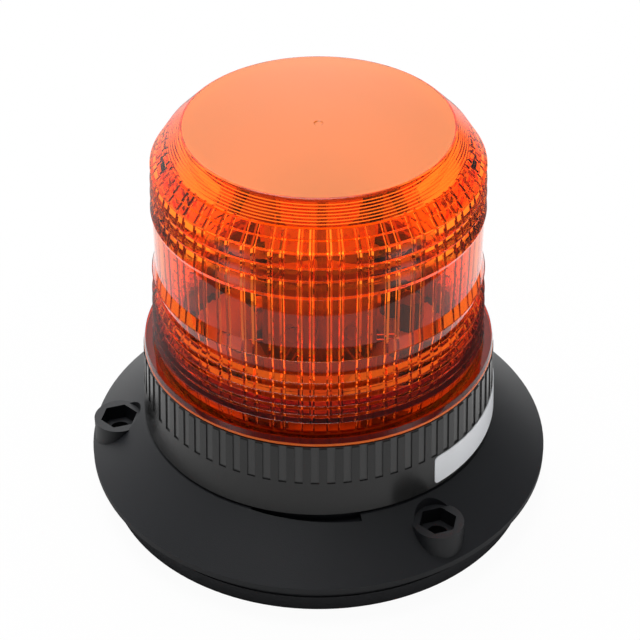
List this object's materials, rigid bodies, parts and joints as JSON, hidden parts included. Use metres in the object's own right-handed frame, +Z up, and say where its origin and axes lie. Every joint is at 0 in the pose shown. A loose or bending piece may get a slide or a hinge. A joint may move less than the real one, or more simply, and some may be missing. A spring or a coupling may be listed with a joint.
{
  "type": "led beacon",
  "caption": "Amber LED warning beacon: ringed Fresnel lens with inner flutes on a knurled screw-off collar, over a conical black base that bolts down on a gasket.",
  "frame": {"origin": "middle of the gasket's underside, on the lens axis, where the beacon meets the surface it is bolted to", "axes": "+Z up the lens axis, away from the mounting surface; -Y towards one of the mounting bosses"},
  "size_m": [0.148, 0.148, 0.1299],
  "materials": {
    "base_plastic": "satin, fine grain",
    "gasket_foam": "closed-cell foam",
    "rubber_black": "matte",
    "collar_plastic": "satin",
    "label_film": "satin silver-white film",
    "amber_polycarbonate": "clear amber, polished",
    "black_laminate": "solder mask",
    "tower_aluminium": "black anodised",
    "cap_plastic": "satin",
    "screw_steel": "zinc plated",
    "pin_metal": "tinned",
    "component_black": "moulded",
    "capacitor_sleeve": "printed sleeve, plain",
    "terminal_plastic": "moulded",
    "emitter_resin": "phosphor resin"
  },
  "bodies": {
    "base": {"mounting_base": "base_plastic", "base_gasket": "gasket_foam", "cable_grommet": "rubber_black", "driver_board": "black_laminate", "light_board_1": "black_laminate", "light_board_2": "black_laminate", "light_board_3": "black_laminate", "light_board_4": "black_laminate", "light_board_5": "black_laminate", "light_board_6": "black_laminate", "heat_sink_tower": "tower_aluminium", "tower_cap": "cap_plastic", "tower_screws": "screw_steel", "board_screws": "screw_steel", "light_board_screws": "screw_steel", "terminal_screws": "screw_steel", "link_pins": "pin_metal", "power_inductor": "component_black", "control_chip": "component_black", "driver_transistors": "component_black", "supply_capacitors": "capacitor_sleeve", "terminal_block": "terminal_plastic", "led_emitters_1": "emitter_resin", "led_emitters_2": "emitter_resin", "led_emitters_3": "emitter_resin", "led_emitters_4": "emitter_resin", "led_emitters_5": "emitter_resin", "led_emitters_6": "emitter_resin"},
    "seal": {"head_seal": "rubber_black"},
    "head": {"grip_collar": "collar_plastic", "lens": "amber_polycarbonate", "label": "label_film"}
  },
  "joints": [
    {"name": "head_rise", "type": "slide", "parent": "base", "child": "seal", "axis": [0, 0, 1], "range_m": [0, 0.006]},
    {"name": "head_turn", "type": "hinge", "parent": "seal", "child": "head", "pos_m": [0, 0, 0.05], "axis": [0, 0, 1], "range_deg": [0, 180]}
  ],
  "couplings": [
    {"joint": "head_rise", "follows": "head_turn", "m_per_rad": 0.0019099}
  ]
}
